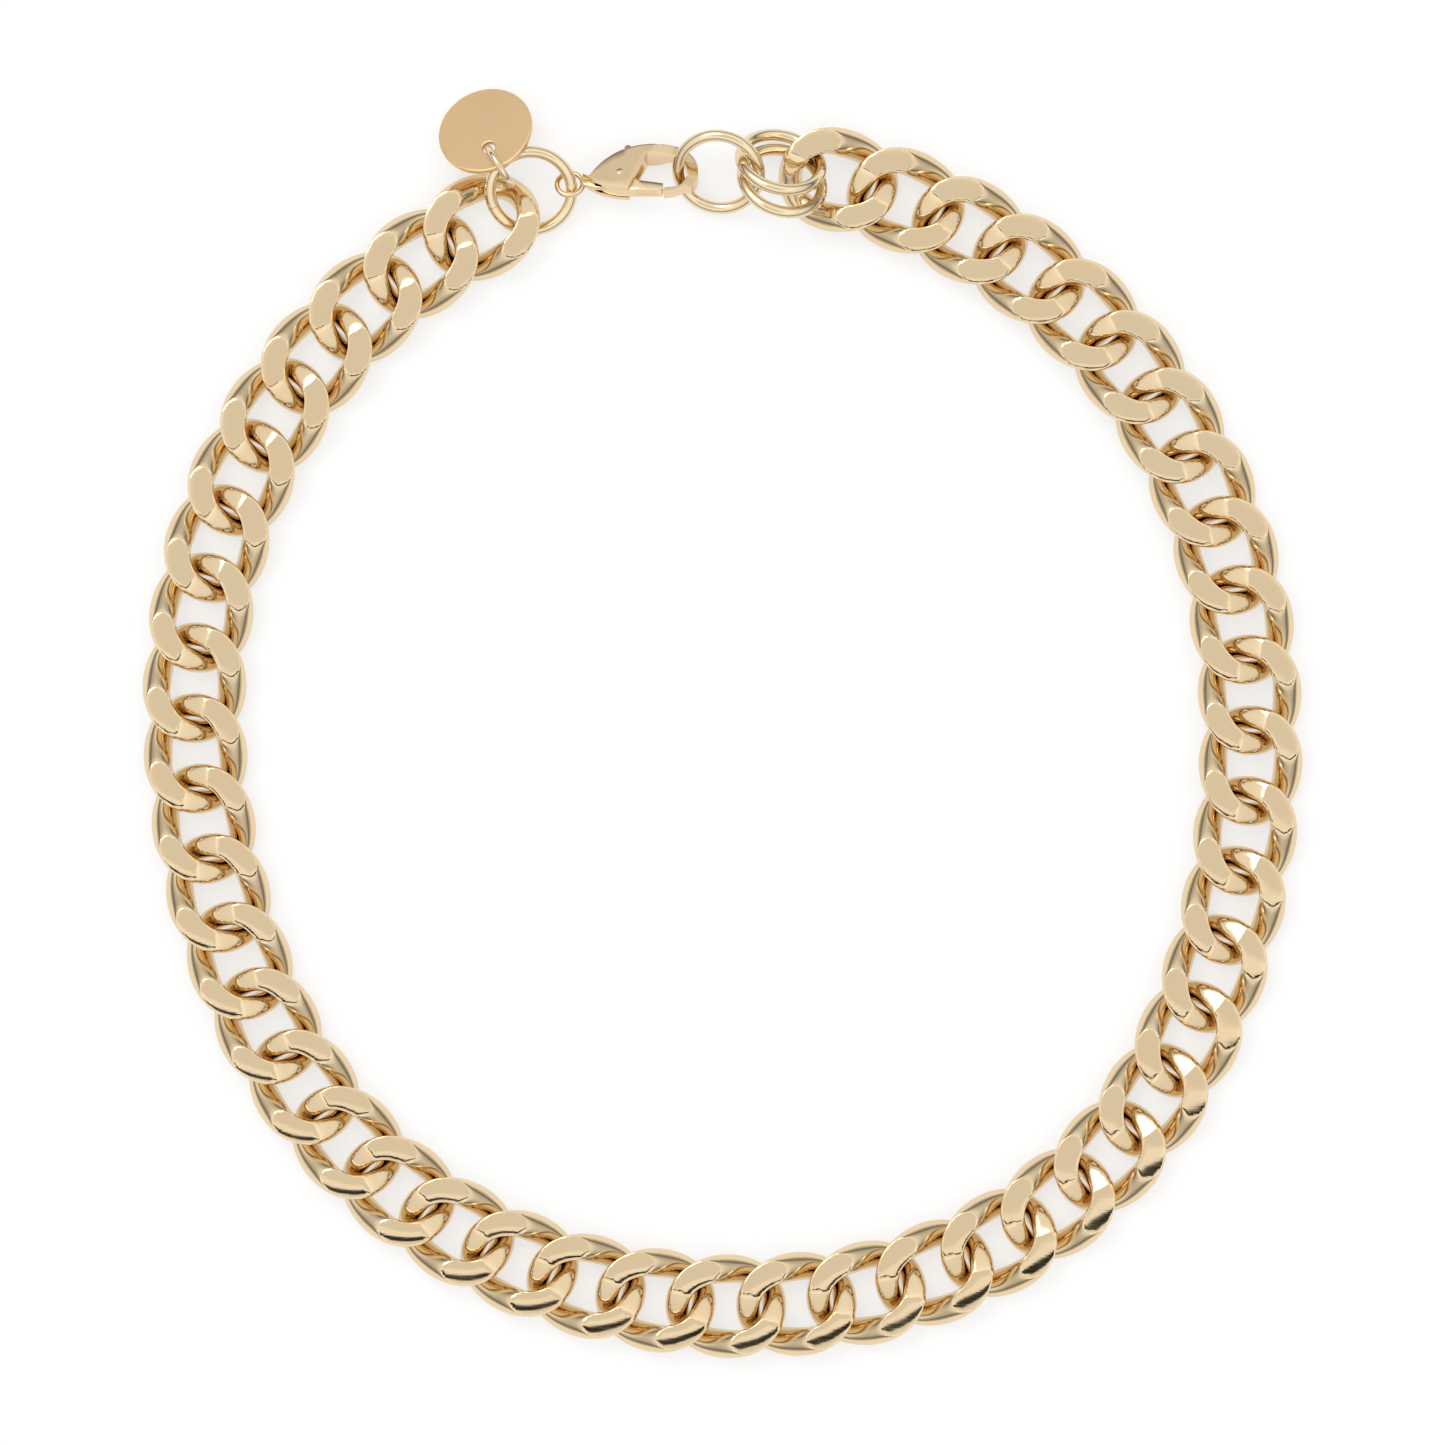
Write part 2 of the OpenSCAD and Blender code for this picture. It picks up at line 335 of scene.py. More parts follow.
# %% Widening the strands
for point in master_link.data.vertices:
    x, y = point.co.x / MM, point.co.y / MM
    turn = math.atan2(y / oval_y, x / oval_x)
    across = Vector((oval_y * math.cos(turn), oval_x * math.sin(turn))).normalized()
    outward = (
        (x - oval_x * math.cos(turn)) * across.x + (y - oval_y * math.sin(turn)) * across.y
    )
    share = min(1.0, max(0.0, 0.5 - outward / WIRE))
    pull = SWELL * share * math.sin(turn) ** 4
    point.co.x -= pull * across.x * MM
    point.co.y -= pull * across.y * MM
print("widened wire:", len(master_link.data.polygons), "faces")

# %% [markdown]
# Grinding takes the top off the wire along a plane. A bisect scores the outline of the cut
# into the wire, and then all that stands above the plane is pressed down to a small part
# of its height. What is left is the faint crown of a polished flat, which shimmers instead
# of looking like cut paper. Besides the two wide flats each end of a link has a short
# slanting one. It is worked out once, and half turns about the three axes of the link
# give the others.

# %% Grinding the faces
CROWN = 0.075
FLAT_LEAN = math.radians(1.2)
FLAT_MIDDLE = 4.3
FLAT_DEPTH = 0.05
SCORE_MERGE = 0.02
STRAND_AREA = (-9.0, 9.0, 0.0, 9.0)
NOSE_POINT = Vector((-6.0, 1.5, 2.31))
NOSE_LEAN = Vector((-0.25, -0.97, 0))
NOSE_ANGLE = math.radians(25)
NOSE_AREA = (-9.0, -3.6, -1.3, 3.6)
HALF_TURNS = ((1, 1, 1), (-1, -1, 1), (1, -1, -1), (-1, 1, -1))


def grind(piece, point, normal, area, flip):
    """Scores the plane's outline inside the area, then presses down what lies above it."""
    def inside(place):
        x, y = place.x * flip[0] / MM, place.y * flip[1] / MM
        return area[0] < x < area[1] and area[2] < y < area[3]

    pick_faces(piece, lambda c, n: inside(c) and c.z * flip[2] > 0)
    bpy.ops.mesh.bisect(plane_co=point * MM, plane_no=normal, use_fill=False)
    bpy.ops.object.mode_set(mode="OBJECT")
    for vertex in piece.data.vertices:
        above = (vertex.co - point * MM).dot(normal)
        if above > 0 and inside(vertex.co) and vertex.co.z * flip[2] > 0:
            vertex.co -= normal * above * (1 - CROWN)


make_active(master_link)
for up in (1, -1):
    for side in (1, -1):
        point = Vector((0, side * FLAT_MIDDLE, up * (THICKNESS / 2 - FLAT_DEPTH)))
        normal = Vector((0, side * math.sin(FLAT_LEAN), up * math.cos(FLAT_LEAN)))
        grind(master_link, point, normal, STRAND_AREA, (1, side, up))
slant = NOSE_LEAN.normalized() * math.sin(NOSE_ANGLE) + Vector((0, 0, math.cos(NOSE_ANGLE)))
for flip in HALF_TURNS:
    point, normal = (Vector(v[i] * flip[i] for i in range(3)) for v in (NOSE_POINT, slant))
    grind(master_link, point, normal, NOSE_AREA, flip)
bpy.ops.object.mode_set(mode="EDIT")
bpy.ops.mesh.select_all(action="SELECT")
bpy.ops.mesh.remove_doubles(threshold=SCORE_MERGE * MM)
bpy.ops.object.mode_set(mode="OBJECT")
print("ground link:", round(master_link.dimensions.z / MM, 3), "mm high")

# %% [markdown]
# Polishing also rounds the border of every flat. A fine bevel does that, and it draws the
# thin bright or dark line around each flat.

# %% Softening the borders
BORDER_WIDTH = 0.07
soft = master_link.modifiers.new("soft_border", "BEVEL")
soft.width = BORDER_WIDTH * MM
soft.segments = 2
soft.angle_limit = math.radians(19)
soft.use_clamp_overlap = True
bpy.ops.object.modifier_apply(modifier="soft_border")
bpy.ops.object.shade_smooth_by_angle(angle=math.radians(40))
print("softened link:", len(master_link.data.polygons), "faces")

# %% [markdown]
# All the links of the chain are alike, so the one link is copied to each place. The middle
# of a link is the middle of its CAD box. Its direction comes from the points of the CAD
# link that lie farthest from its middle, which are at the two ends of the oval. A link
# looks the same when it is turned by half a turn, so either end will do.

# %% Copying the link along the chain
END_BAND = 0.002


def long_direction(points, middle):
    """The heading of a link's length, from its points farthest from the middle."""
    flat = points[:, :2] - middle[:2]
    reach = np.hypot(flat[:, 0], flat[:, 1])
    ends = flat[reach > reach.max() - END_BAND * MM]
    ends = np.where((ends @ ends[0])[:, None] < 0, -ends, ends)
    x, y = ends.mean(axis=0)
    return math.atan2(y, x)


chain_nodes = sorted(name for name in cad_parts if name.startswith("link_"))
for node in chain_nodes:
    low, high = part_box(node)
    middle = (Vector(low) + Vector(high)) / 2
    heading = long_direction(cad_points(node), np.array(middle))
    link = master_link.copy()
    link.data = master_link.data.copy()
    link.name = "curb_" + node
    bpy.context.collection.objects.link(link)
    place_mesh(link, Matrix.Translation(middle) @ Matrix.Rotation(heading, 4, "Z"))
    link.data.materials.clear()
    link.data.materials.append(link_gold)
    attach(link, node)
    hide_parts(node)
bpy.data.objects.remove(master_link)
print("links placed:", len(chain_nodes))

# %% [markdown]
# A jump ring is a turn of wire cut off a coil with a fine saw, so its two ends meet at a
# hairline slit. It is made by spinning a small circle almost all the way round an axis,
# which leaves the slit, and closing both ends. The place, the plane and the size of each
# ring are read from its CAD node: the middle of its points, and the direction in which
# they are spread least.

# %% The plane of a ring
RING_SLIT = 0.05
RING_WIRE = 1.55
TAG_RING_WIRE = 0.9


def ring_plane(points):
    """The middle of a flat round piece and its upward normal."""
    middle = points.mean(axis=0)
    directions = np.linalg.svd(points - middle, full_matrices=False)[2]
    normal = Vector(directions[2])
    return Vector(middle), normal if normal.z >= 0 else -normal


end_normal = ring_plane(cad_points("end_ring"))[1]
print("end ring leans", round(math.degrees(math.acos(end_normal.z)), 1), "degrees")

# %% [markdown]
# One helper makes every ring, because they differ only in size, place and wire. Each has
# its slit on a side of its own, and the tag's ring has thinner wire than the others.

# %% Jump rings
def jump_ring(name, node, wire, slit_toward):
    """A sawn ring in place of a CAD ring, with its slit on the side given."""
    points = cad_points(node)
    middle, normal = ring_plane(points)
    outer = np.linalg.norm(points - np.array(middle), axis=1).max()
    centre_r = outer - wire / 2 * MM
    toward = Vector(slit_toward) - normal * normal.dot(Vector(slit_toward))
    toward.normalize()
    side = normal.cross(toward)
    half_slit = RING_SLIT / 2 * MM / centre_r
    deselect_all()
    bpy.ops.mesh.primitive_circle_add(
        vertices=28, radius=wire / 2 * MM, fill_type="NGON",
        rotation=(math.pi / 2, 0, 0), location=(centre_r, 0, 0),
    )
    piece = bpy.context.object
    piece.name = name
    bpy.ops.object.transform_apply(location=True, rotation=True, scale=True)
    bpy.ops.object.mode_set(mode="EDIT")
    bpy.ops.mesh.select_all(action="SELECT")
    bpy.ops.mesh.spin(steps=96, angle=math.tau - 2 * half_slit, center=(0, 0, 0), axis=(0, 0, 1))
    bpy.ops.mesh.select_all(action="SELECT")
    bpy.ops.mesh.normals_make_consistent(inside=False)
    bpy.ops.object.mode_set(mode="OBJECT")
    frame_of_ring = Matrix((toward, side, normal)).transposed().to_4x4()
    half_slit_turn = Matrix.Rotation(half_slit, 4, "Z")
    place_mesh(piece, Matrix.Translation(middle) @ frame_of_ring @ half_slit_turn)
    bpy.ops.object.shade_smooth_by_angle(angle=math.radians(40))
    piece.data.materials.append(ring_gold)
    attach(piece, node)
    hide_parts(node)
    print(name, "outer diameter", round(2 * outer / MM, 2), "mm")


jump_ring("end_jump_ring", "end_ring", RING_WIRE, (-0.9, -0.4, 0))
jump_ring("closing_jump_ring", "closing_ring", RING_WIRE, (-0.5, -0.9, 0))
jump_ring("upper_jump_ring", "pair_ring_upper", RING_WIRE, (0.9, 0.5, 0))
jump_ring("lower_jump_ring", "pair_ring_lower", RING_WIRE, (0.9, -0.5, 0))
jump_ring("tag_jump_ring", "tag_ring", TAG_RING_WIRE, (0, 0, -1))

# %% [markdown]
# The tag is a disc stamped from sheet, with one punched hole for its ring. Its middle, its
# width, its tilt and the place of the hole are read from its CAD node. The points near the
# middle of the disc can only be the rim of the hole.

# %% The round tag
TAG_THICKNESS = 0.8
TAG_HOLE = 1.7
HOLE_SEARCH = 0.8


def flat_middle(points, normal):
    """The middle and width of a round flat piece, from its extent in its own plane."""
    across = normal.cross(Vector((0, 1, 0))).normalized()
    along = normal.cross(across)
    spans = [(points @ np.array(v)) for v in (across, along, normal)]
    middles = [(s.min() + s.max()) / 2 for s in spans]
    middle = across * middles[0] + along * middles[1] + normal * middles[2]
    return middle, spans[0].max() - spans[0].min()


tag_points = cad_points("tag")
tag_normal = ring_plane(tag_points)[1]
tag_middle, tag_width = flat_middle(tag_points, tag_normal)
offsets = tag_points - np.array(tag_middle)
hole_points = offsets[np.linalg.norm(offsets, axis=1) < HOLE_SEARCH * tag_width / 2]
hole_offset = Vector((hole_points.min(axis=0) + hole_points.max(axis=0)) / 2)
hole_distance = hole_offset.length
tag_x = hole_offset.normalized()
tag_turn = Matrix((tag_x, tag_normal.cross(tag_x), tag_normal)).transposed().to_4x4()
tag_matrix = Matrix.Translation(tag_middle) @ tag_turn
print("tag:", round(tag_width / MM, 2), "mm wide")
print("hole:", round(hole_distance / MM, 2), "mm from the middle")

# %% [markdown]
# The disc starts as a cylinder, the hole is cut with a Boolean, and a Bevel modifier
# rounds every edge. Weighted normals keep the large face even right up to that rounding,
# so it reflects like one flat sheet.

# %% Stamping and punching the tag
TAG_EDGE = 0.2
deselect_all()
bpy.ops.mesh.primitive_cylinder_add(
    vertices=128, radius=tag_width / 2, depth=TAG_THICKNESS * MM
)
tag_disc = bpy.context.object
tag_disc.name = "tag_disc"
bpy.ops.mesh.primitive_cylinder_add(
    vertices=48, radius=TAG_HOLE / 2 * MM, depth=3 * MM, location=(hole_distance, 0, 0)
)
punch = bpy.context.object
make_active(tag_disc)
hole_cut = tag_disc.modifiers.new("hole", "BOOLEAN")
hole_cut.object = punch
hole_cut.solver = "EXACT"
bpy.ops.object.modifier_apply(modifier="hole")
bpy.data.objects.remove(punch)
soft_edge = tag_disc.modifiers.new("soft_edge", "BEVEL")
soft_edge.width = TAG_EDGE * MM
soft_edge.segments = 4
soft_edge.angle_limit = math.radians(50)
bpy.ops.object.modifier_apply(modifier="soft_edge")
bpy.ops.object.shade_smooth_by_angle(angle=math.radians(35))
even_normals = tag_disc.modifiers.new("even_normals", "WEIGHTED_NORMAL")
even_normals.keep_sharp = True
even_normals.weight = 100
bpy.ops.object.modifier_apply(modifier="even_normals")
place_mesh(tag_disc, tag_matrix)
tag_disc.data.materials.append(tag_gold)
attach(tag_disc, "tag")
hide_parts("tag")
print("tag disc:", len(tag_disc.data.polygons), "faces")

# %% [markdown]
# The clasp is a small casting. Its own frame has its middle in the eye, X from the eye to
# the hook and Z straight through the plates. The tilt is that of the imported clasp, and the
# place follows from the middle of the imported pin, so every outline below can be given in
# millimetres from the middle of the eye.

# %% The clasp's own frame
CLASP_TILT = (-29.0, -0.4, 5.3)
PIN_PLACE = Vector((6.6, 0.3, 0))
clasp_turn = Matrix.Identity(4)
for axis, degrees in zip("XYZ", CLASP_TILT):
    clasp_turn = Matrix.Rotation(math.radians(degrees), 4, axis) @ clasp_turn
pin_low, pin_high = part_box("clasp_pin")
pin_middle = (Vector(pin_low) + Vector(pin_high)) / 2
clasp_origin = pin_middle - clasp_turn.to_3x3() @ PIN_PLACE * MM
clasp_matrix = Matrix.Translation(clasp_origin) @ clasp_turn
body_points = cad_points("clasp_body")
body_points = np.c_[body_points, np.ones(len(body_points))]
local = (body_points @ np.array(clasp_matrix.inverted()).T)[:, :3]
print("clasp, mm, lowest corner:", np.round(local.min(axis=0) / MM, 2))
print("clasp, mm, highest corner:", np.round(local.max(axis=0) / MM, 2))

# %% [markdown]
# The outline of the casting is a leaf whose back runs on into the hook. It is drawn with
# a few arcs, each given by its middle and radius, and the angles follow from the points
# where one arc meets the next.

# %% Arcs of the casting
BACK_ARC = (10.2, -5.0, 9.05)
BELLY_ARC = (8.5, 7.3, 9.6)
HOOK = (12.65, -0.1)
HOOK_OUTER_R = 4.05
HOOK_INNER_R = 2.62
HOOK_FLOOR = -2.42
JAW_ARC = (12.2, 3.3, 6.25)


def arc(x, y, radius, start, end, count):
    """Points on an arc, with the angles in degrees."""
    angles = [math.radians(start + (end - start) * k / count) for k in range(count + 1)]
    return [(x + radius * math.cos(a), y + radius * math.sin(a)) for a in angles]


def angle_at(centre, point):
    """The direction of a point seen from the middle of an arc, in degrees."""
    return math.degrees(math.atan2(point[1] - centre[1], point[0] - centre[0]))


print("hook:", round(HOOK_OUTER_R - HOOK_INNER_R, 2), "mm wide")

# %% [markdown]
# The arcs are joined into one closed outline. It runs along the back, round the hook, back
# inside it to the edge of the plates, and home along the belly. The inside of the hook is
# cut off at a floor, which leaves its tip thick enough to be rounded.

# %% Outline of the casting
LEAF_TIP = (1.62, 0.62)
HOOK_START = (11.95, 3.88)
JAW_END = (15.05, -2.26)
SEAM_LOW = (11.98, -2.95)
TIP_INSIDE = (11.6, -2.48)
MOUTH_TOP = (12.4, 2.5)
BACK_INSIDE = (11.4, 2.62)
PLATE_EDGE_TOP = (10.3, 2.81)
PLATE_EDGE_LOW = (7.45, -2.24)
SEAM_STEP = 0.1
inner_arc = arc(*HOOK, HOOK_INNER_R, angle_at(HOOK, TIP_INSIDE), angle_at(HOOK, MOUTH_TOP), 44)
belly_from = angle_at(BELLY_ARC, PLATE_EDGE_LOW) - 2
belly_to = angle_at(BELLY_ARC, LEAF_TIP) + 1.5
casting_outline = (
    arc(*BACK_ARC, angle_at(BACK_ARC, LEAF_TIP), angle_at(BACK_ARC, HOOK_START), 36)
    + arc(*HOOK, HOOK_OUTER_R, angle_at(HOOK, HOOK_START) - 3, angle_at(HOOK, JAW_END), 40)
    + arc(*JAW_ARC, angle_at(JAW_ARC, JAW_END) - 2, angle_at(JAW_ARC, SEAM_LOW), 10)
    + [(x, max(y, HOOK_FLOOR)) for x, y in inner_arc if x > SEAM_LOW[0] + SEAM_STEP]
    + [BACK_INSIDE, PLATE_EDGE_TOP, PLATE_EDGE_LOW]
    + arc(*BELLY_ARC, belly_from, belly_to, 20)
)
print("casting outline:", len(casting_outline), "points")

# %% [markdown]
# A filled outline becomes a solid by extruding its one face. The same helper makes the
# casting, the lever inside it and the cutter for the slot. Two more helpers round the
# edges of a finished solid, and give it its place, its finish and its body.

# %% Solids from outlines
def solid_from_outline(name, outline, depth):
    """Millimetre outline in the clasp's frame, extruded evenly to both sides."""
    deselect_all()
    mesh = bpy.data.meshes.new(name)
    corners = [(x * MM, y * MM, -depth / 2 * MM) for x, y in outline]
    mesh.from_pydata(corners, [], [range(len(corners))])
    piece = bpy.data.objects.new(name, mesh)
    bpy.context.collection.objects.link(piece)
    make_active(piece)
    bpy.ops.object.mode_set(mode="EDIT")
    bpy.ops.mesh.select_all(action="SELECT")
    bpy.ops.mesh.extrude_region_move(TRANSFORM_OT_translate={"value": (0, 0, depth * MM)})
    bpy.ops.mesh.select_all(action="SELECT")
    bpy.ops.mesh.normals_make_consistent(inside=False)
    bpy.ops.object.mode_set(mode="OBJECT")
    return piece


def round_edges(piece, width, segments):
    rounding = piece.modifiers.new("rounding", "BEVEL")
    rounding.width = width * MM
    rounding.segments = segments
    rounding.angle_limit = math.radians(40)
    rounding.use_clamp_overlap = True
    bpy.ops.object.modifier_apply(modifier="rounding")


def finish_piece(piece, material, body, node):
    """Smooths a piece of the clasp, moves it to its place and ties it to its body."""
    make_active(piece)
    bpy.ops.object.shade_smooth_by_angle(angle=math.radians(35))
    place_mesh(piece, clasp_matrix)
    piece.data.materials.clear()
    piece.data.materials.append(material)
    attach(piece, body)
    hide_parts(node)
    print(piece.name, len(piece.data.polygons), "faces")


print("helpers for the clasp ready")

# %% [markdown]
# The leaf is thick and the hook is thin, so the height of every point is scaled by a smooth
# taper that starts just beyond the edge of the plates. The two large faces are subdivided
# first, so that the taper has points to move. A bevel then rounds all the cast edges.

# %% Casting the body
CLASP_DEPTH = 3.2
HOOK_DEPTH = 1.8
TAPER_START = 0.3
TAPER_LENGTH = 2.6
CAST_ROUNDING = 0.2
edge_line = Vector(PLATE_EDGE_TOP) - Vector(PLATE_EDGE_LOW)
edge_line.normalize()
casting = solid_from_outline("clasp_casting", casting_outline, CLASP_DEPTH)
pick_faces(casting, lambda c, n: abs(n.z) > 0.9)
bpy.ops.mesh.quads_convert_to_tris()
bpy.ops.mesh.subdivide(number_cuts=4)
bpy.ops.object.mode_set(mode="OBJECT")
for point in casting.data.vertices:
    offset = Vector((point.co.x / MM, point.co.y / MM)) - Vector(PLATE_EDGE_LOW)
    beyond = offset.x * edge_line.y - offset.y * edge_line.x
    share = min(1.0, max(0.0, (beyond - TAPER_START) / TAPER_LENGTH))
    share = share * share * (3 - 2 * share)
    point.co.z *= 1 - share * (1 - HOOK_DEPTH / CLASP_DEPTH)
round_edges(casting, CAST_ROUNDING, 3)
print("casting:", [round(d / MM, 2) for d in casting.dimensions], "mm")

# %% [markdown]
# A slot between the two plates holds the lever. It is open along the belly and, for the
# thumb tab, along the back. A cutter with that outline and a Boolean mill it.

# %% Slot for the lever
SLOT_DEPTH = 1.9
SLOT_OUTLINE = [
    (3.2, -5), (10.4, -5), (10.4, 1.9), (9.3, 2.0), (9.3, 5), (4.6, 5), (4.6, 0.2), (3.2, -0.2),
]
slot_cutter = solid_from_outline("slot_cutter", SLOT_OUTLINE, SLOT_DEPTH)
make_active(casting)
slot_cut = casting.modifiers.new("slot", "BOOLEAN")
slot_cut.object = slot_cutter
slot_cut.solver = "EXACT"
bpy.ops.object.modifier_apply(modifier="slot")
bpy.data.objects.remove(slot_cutter)
print("slot:", SLOT_DEPTH, "mm between the plates")

# %% [markdown]
# The eye that takes the ring is a torus, and a short neck joins it to the leaf. The size of
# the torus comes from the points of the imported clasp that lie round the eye. Eye, neck and
# leaf are one casting on the real clasp, so they are joined into one piece.

# %% Eye and neck
EYE_REACH = 0.9
NECK_START = 0.45
NECK_ROUNDING = 0.25
eye_points = local[local[:, 0] < EYE_REACH * MM]
eye_outer = np.abs(eye_points[:, 0].min())
eye_rim = eye_points[:, 2].max()
deselect_all()
bpy.ops.mesh.primitive_torus_add(
    major_radius=eye_outer - eye_rim, minor_radius=eye_rim, major_segments=64, minor_segments=24
)
eye = bpy.context.object
neck_from = eye_outer / MM - NECK_START
neck_outline = [
    (neck_from, -0.45), (3.2, -1.1), (5.0, -1.5), (5.0, 2.2), (3.2, 1.5), (neck_from, 0.45),
]
neck = solid_from_outline("neck", neck_outline, 2 * eye_rim / MM)
round_edges(neck, NECK_ROUNDING, 3)
deselect_all()
for part in (neck, eye, casting):
    part.select_set(True)
bpy.context.view_layer.objects.active = casting
bpy.ops.object.join()
finish_piece(casting, clasp_gold, "clasp", "clasp_body")

# %% [markdown]
# The lever is one stamped piece: the gate that closes the mouth, the boss round the pin
# and the thumb tab at the back. Fine teeth are milled into the lower edge of the gate.

# %% Lever with its milled gate
LEVER_DEPTH = 1.7
LEVER_ROUNDING = 0.05
TEETH = 9
TOOTH_DEPTH = 0.07
TOOTH_PITCH = 0.34
FIRST_TOOTH = 8.3
EDGE_END = (8.1, -2.24)
EDGE_SLOPE = -0.125
gate_edge = [(4.0, -0.45), (4.05, -1.05), (5.0, -1.55), (6.2, -1.98), (7.4, -2.2), (8.1, -2.25)]
for tooth in range(TEETH):
    x = FIRST_TOOTH + TOOTH_PITCH * tooth
    y = EDGE_END[1] + EDGE_SLOPE * (x - EDGE_END[0])
    low = y - TOOTH_DEPTH
    gate_edge += [(x, low), (x + 0.12, low), (x + 0.18, y), (x + 0.3, y)]
gate_tip = [
    (11.72, -2.7), (11.88, -2.6), (12.05, -1.75), (11.9, -1.66),
    (8.9, -0.85), (7.9, 0.2), (7.8, 1.2), (8.45, 3.3),
]
thumb_tab = arc(7.9, 4.28, 0.44, -10, 190, 10)
lever_outline = gate_edge + gate_tip + thumb_tab + [(6.6, 1.6), (5.9, 1.1), (5.6, 0.5)]
lever = solid_from_outline("clasp_gate", lever_outline, LEVER_DEPTH)
round_edges(lever, LEVER_ROUNDING, 2)
finish_piece(lever, clasp_gold, "clasp_lever", "clasp_lever")

# %% [markdown]
# The pin is pressed in and polished flush with both plates. The spring inside the clasp
# keeps its CAD shape and takes a steel finish.

# %% Pin and spring
PIN_RADIUS = 0.45
PIN_PROUD = 0.02
PIN_ROUNDING = 0.04
deselect_all()
bpy.ops.mesh.primitive_cylinder_add(
    vertices=48, radius=PIN_RADIUS * MM, depth=(CLASP_DEPTH + PIN_PROUD) * MM
)
pin = bpy.context.object
pin.name = "clasp_rivet"
round_edges(pin, PIN_ROUNDING, 2)
place_mesh(pin, Matrix.Translation(PIN_PLACE * MM))
finish_piece(pin, clasp_gold, "clasp", "clasp_pin")
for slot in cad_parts["clasp_spring"].material_slots:
    slot.material = spring_steel
print("finish on clasp_spring")

# %% [markdown]
# The necklace lies on a plain white surface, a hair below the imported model's lowest point.
# A white surface casts its light back up between the links and washes them out. This one
# is grey and glows a little by itself, so it looks white and lends the metal less light.

# %% The table
TABLE_WIDTH = 4.0
TABLE_GAP = 0.02
TABLE_GREY = 0.42
TABLE_GLOW = 0.6
deselect_all()
bpy.ops.mesh.primitive_plane_add(size=TABLE_WIDTH, location=(0, 0, -TABLE_GAP * MM))
table_top = bpy.context.object
table_top.name = "table_top"
white = bpy.data.materials.new("white_table")
white.use_nodes = True
surface = white.node_tree.nodes["Principled BSDF"].inputs
surface["Base Color"].default_value = (TABLE_GREY, TABLE_GREY, TABLE_GREY, 1)
surface["Roughness"].default_value = 0.8
surface["Specular IOR Level"].default_value = 0.1
surface["Emission Color"].default_value = (1, 1, 1, 1)
surface["Emission Strength"].default_value = TABLE_GLOW
table_top.data.materials.append(white)
print("table:", table_top.dimensions.x, "m wide")

# %% [markdown]
# The surroundings matter most here, because polished metal shows nothing else. They are
# bands of light by height, from the horizon to straight overhead. Each band is a place on
# the colour ramp and a level. The dark one low down shades the sides of the wire, and the
# bright one high up gives its slanting faces their light.

# %% Studio light
LEVEL_HORIZON = 0.9
LEVEL_OVERHEAD = 0.88
BANDS = (
    (0.12, 0.45), (0.24, 0.2), (0.36, 0.58), (0.5, 0.92),
    (0.62, 1.0), (0.86, 1.25), (0.95, 0.98), (0.985, 0.88),
)
world = bpy.data.worlds.new("white_studio")
bpy.context.scene.world = world
world.use_nodes = True
tree = world.node_tree
tree.nodes.clear()
direction = add_node(tree, "ShaderNodeTexCoord")
parts = add_node(tree, "ShaderNodeSeparateXYZ")
bands = add_node(tree, "ShaderNodeValToRGB")
bands.color_ramp.interpolation = "EASE"
steps = bands.color_ramp.elements
steps[0].position = 0.0
steps[0].color = (LEVEL_HORIZON, LEVEL_HORIZON, LEVEL_HORIZON, 1)
steps[1].position = 1.0
steps[1].color = (LEVEL_OVERHEAD, LEVEL_OVERHEAD, LEVEL_OVERHEAD, 1)
for position, level in BANDS:
    step = steps.new(position)
    step.color = (level, level, level, 1)
sky = add_node(tree, "ShaderNodeBackground")
out = add_node(tree, "ShaderNodeOutputWorld")
link_nodes(
    tree,
    (direction.outputs["Generated"], parts.inputs["Vector"]),
    (parts.outputs["Z"], bands.inputs["Fac"]),
    (bands.outputs["Color"], sky.inputs["Color"]),
    (sky.outputs["Background"], out.inputs["Surface"]),
)
print("surroundings:", len(steps), "bands of light")

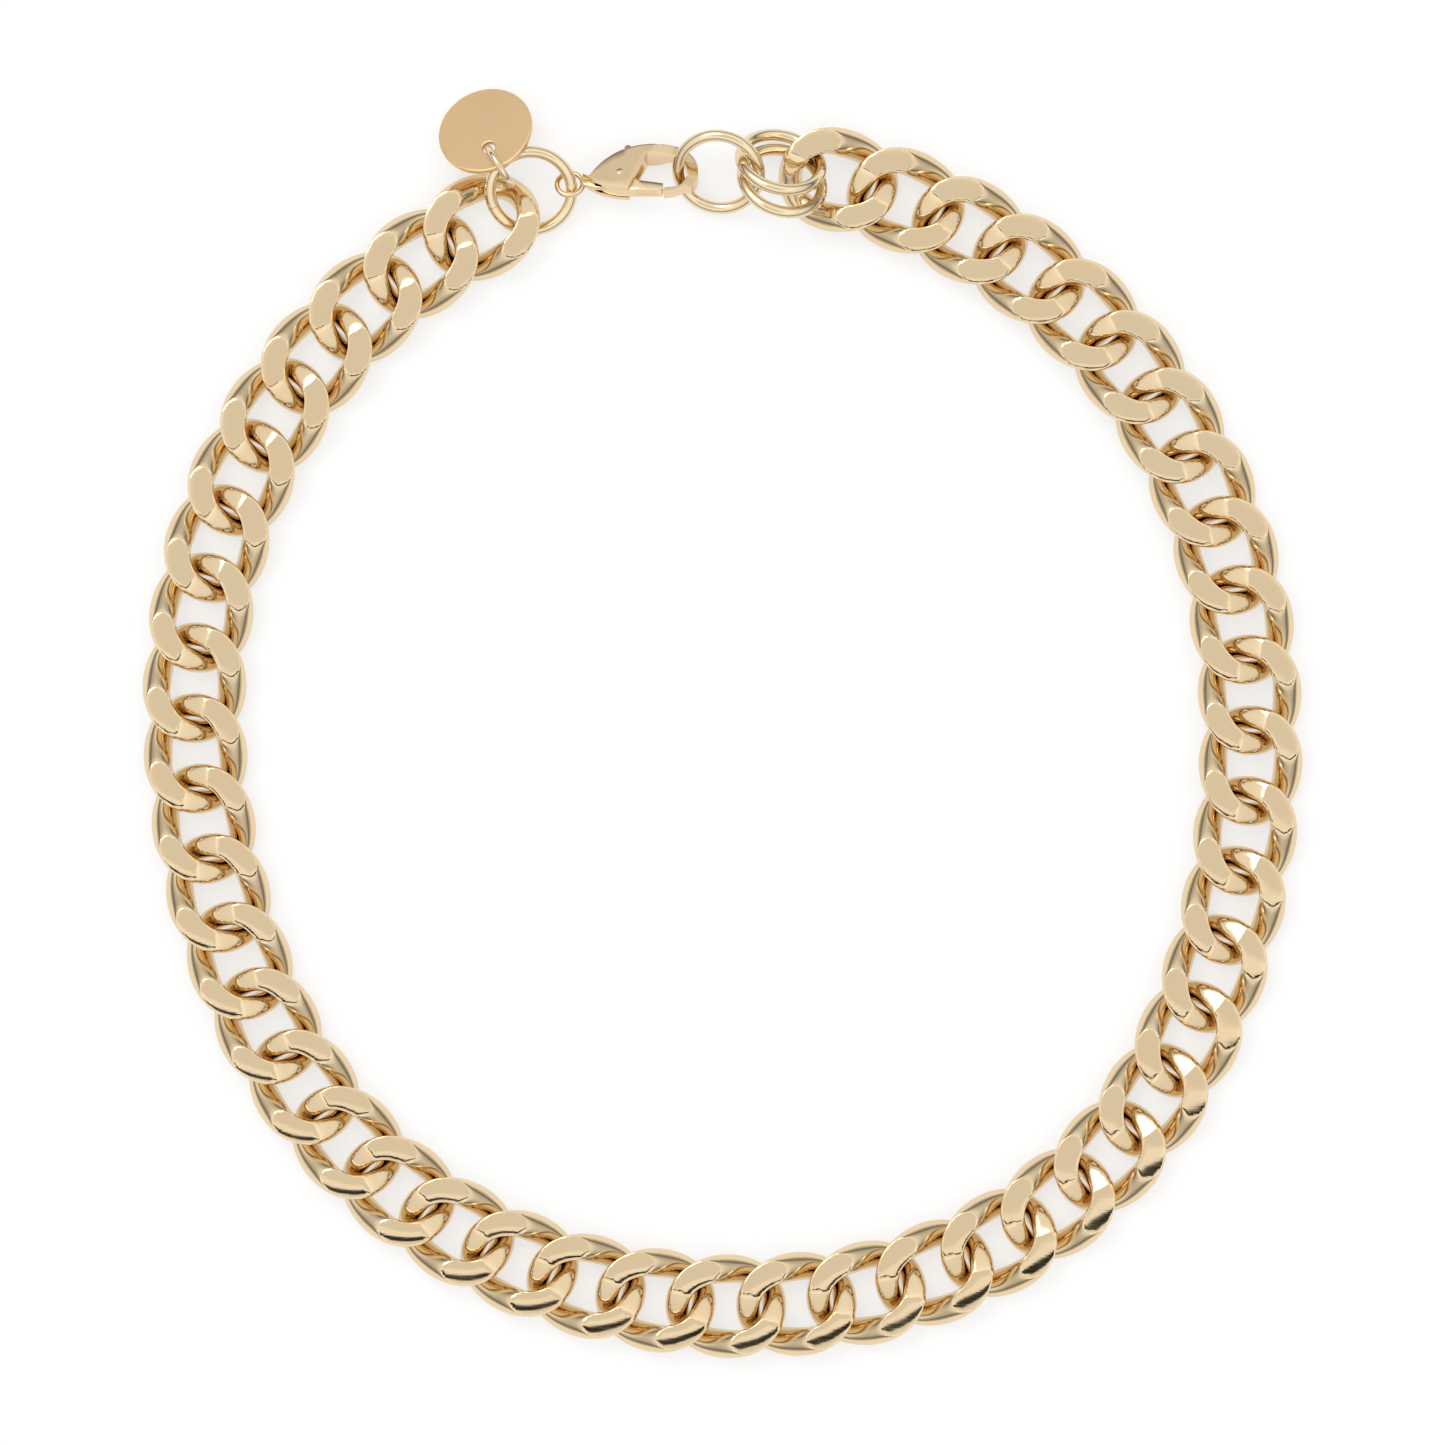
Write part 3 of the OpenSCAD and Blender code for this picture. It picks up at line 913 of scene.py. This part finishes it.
# %% [markdown]
# A long dark rail of the studio hangs high above the near side. The flats mirror it as a
# thin black line, or as a broad band where they look straight at it. It is written into
# the surroundings as a stripe, so it shades nothing. A lit panel runs along its far side.

# %% The dark rail
RAIL_FROM = -0.205
RAIL_TO = -0.135
GLOW_TO = -0.07
RAIL_HALF_LENGTH = 0.34
RAIL_DARKNESS = 0.97
GLOW_STRENGTH = 0.25
OVERHEAD_FROM = 0.5


def with_number(operation, source, number):
    """The result of a Math node on one output and one number."""
    node = add_node(tree, MATH, operation, {1: number})
    link_nodes(tree, (source, node.inputs[0]))
    return node.outputs["Value"]


def multiply(first, second):
    node = add_node(tree, MATH, "MULTIPLY")
    link_nodes(tree, (first, node.inputs[0]), (second, node.inputs[1]))
    return node.outputs["Value"]


def between(axis, low, high):
    """One where the direction's part along the axis is between two limits, else zero."""
    value = parts.outputs[axis]
    return multiply(with_number("GREATER_THAN", value, low), with_number("LESS_THAN", value, high))


above = with_number("GREATER_THAN", parts.outputs["Z"], OVERHEAD_FROM)
length = between("X", -RAIL_HALF_LENGTH, RAIL_HALF_LENGTH)
rail = multiply(multiply(between("Y", RAIL_FROM, RAIL_TO), length), above)
glow = multiply(multiply(between("Y", RAIL_TO, GLOW_TO), length), above)
dimmed = with_number("MULTIPLY_ADD", rail, -RAIL_DARKNESS)
dimmed.node.inputs[2].default_value = 1.0
lit = with_number("MULTIPLY_ADD", glow, GLOW_STRENGTH)
link_nodes(tree, (dimmed, lit.node.inputs[2]), (lit, sky.inputs["Strength"]))
rail_angles = [round(math.degrees(math.asin(-edge)), 1) for edge in (RAIL_TO, RAIL_FROM)]
print("rail, degrees from overhead:", rail_angles)

# %% [markdown]
# One soft lamp from the upper left gives the faint shadow to the lower right.

# %% Soft lamp
LAMP_TURN = (math.radians(-28), math.radians(-24), 0)
bpy.ops.object.light_add(type="SUN", rotation=LAMP_TURN)
sun = bpy.context.object
sun.name = "soft_key"
sun.data.energy = 0.45
sun.data.angle = math.radians(35)
bpy.context.scene.view_settings.view_transform = "Standard"
print("lamp:", sun.name, sun.data.energy, "W/m2")
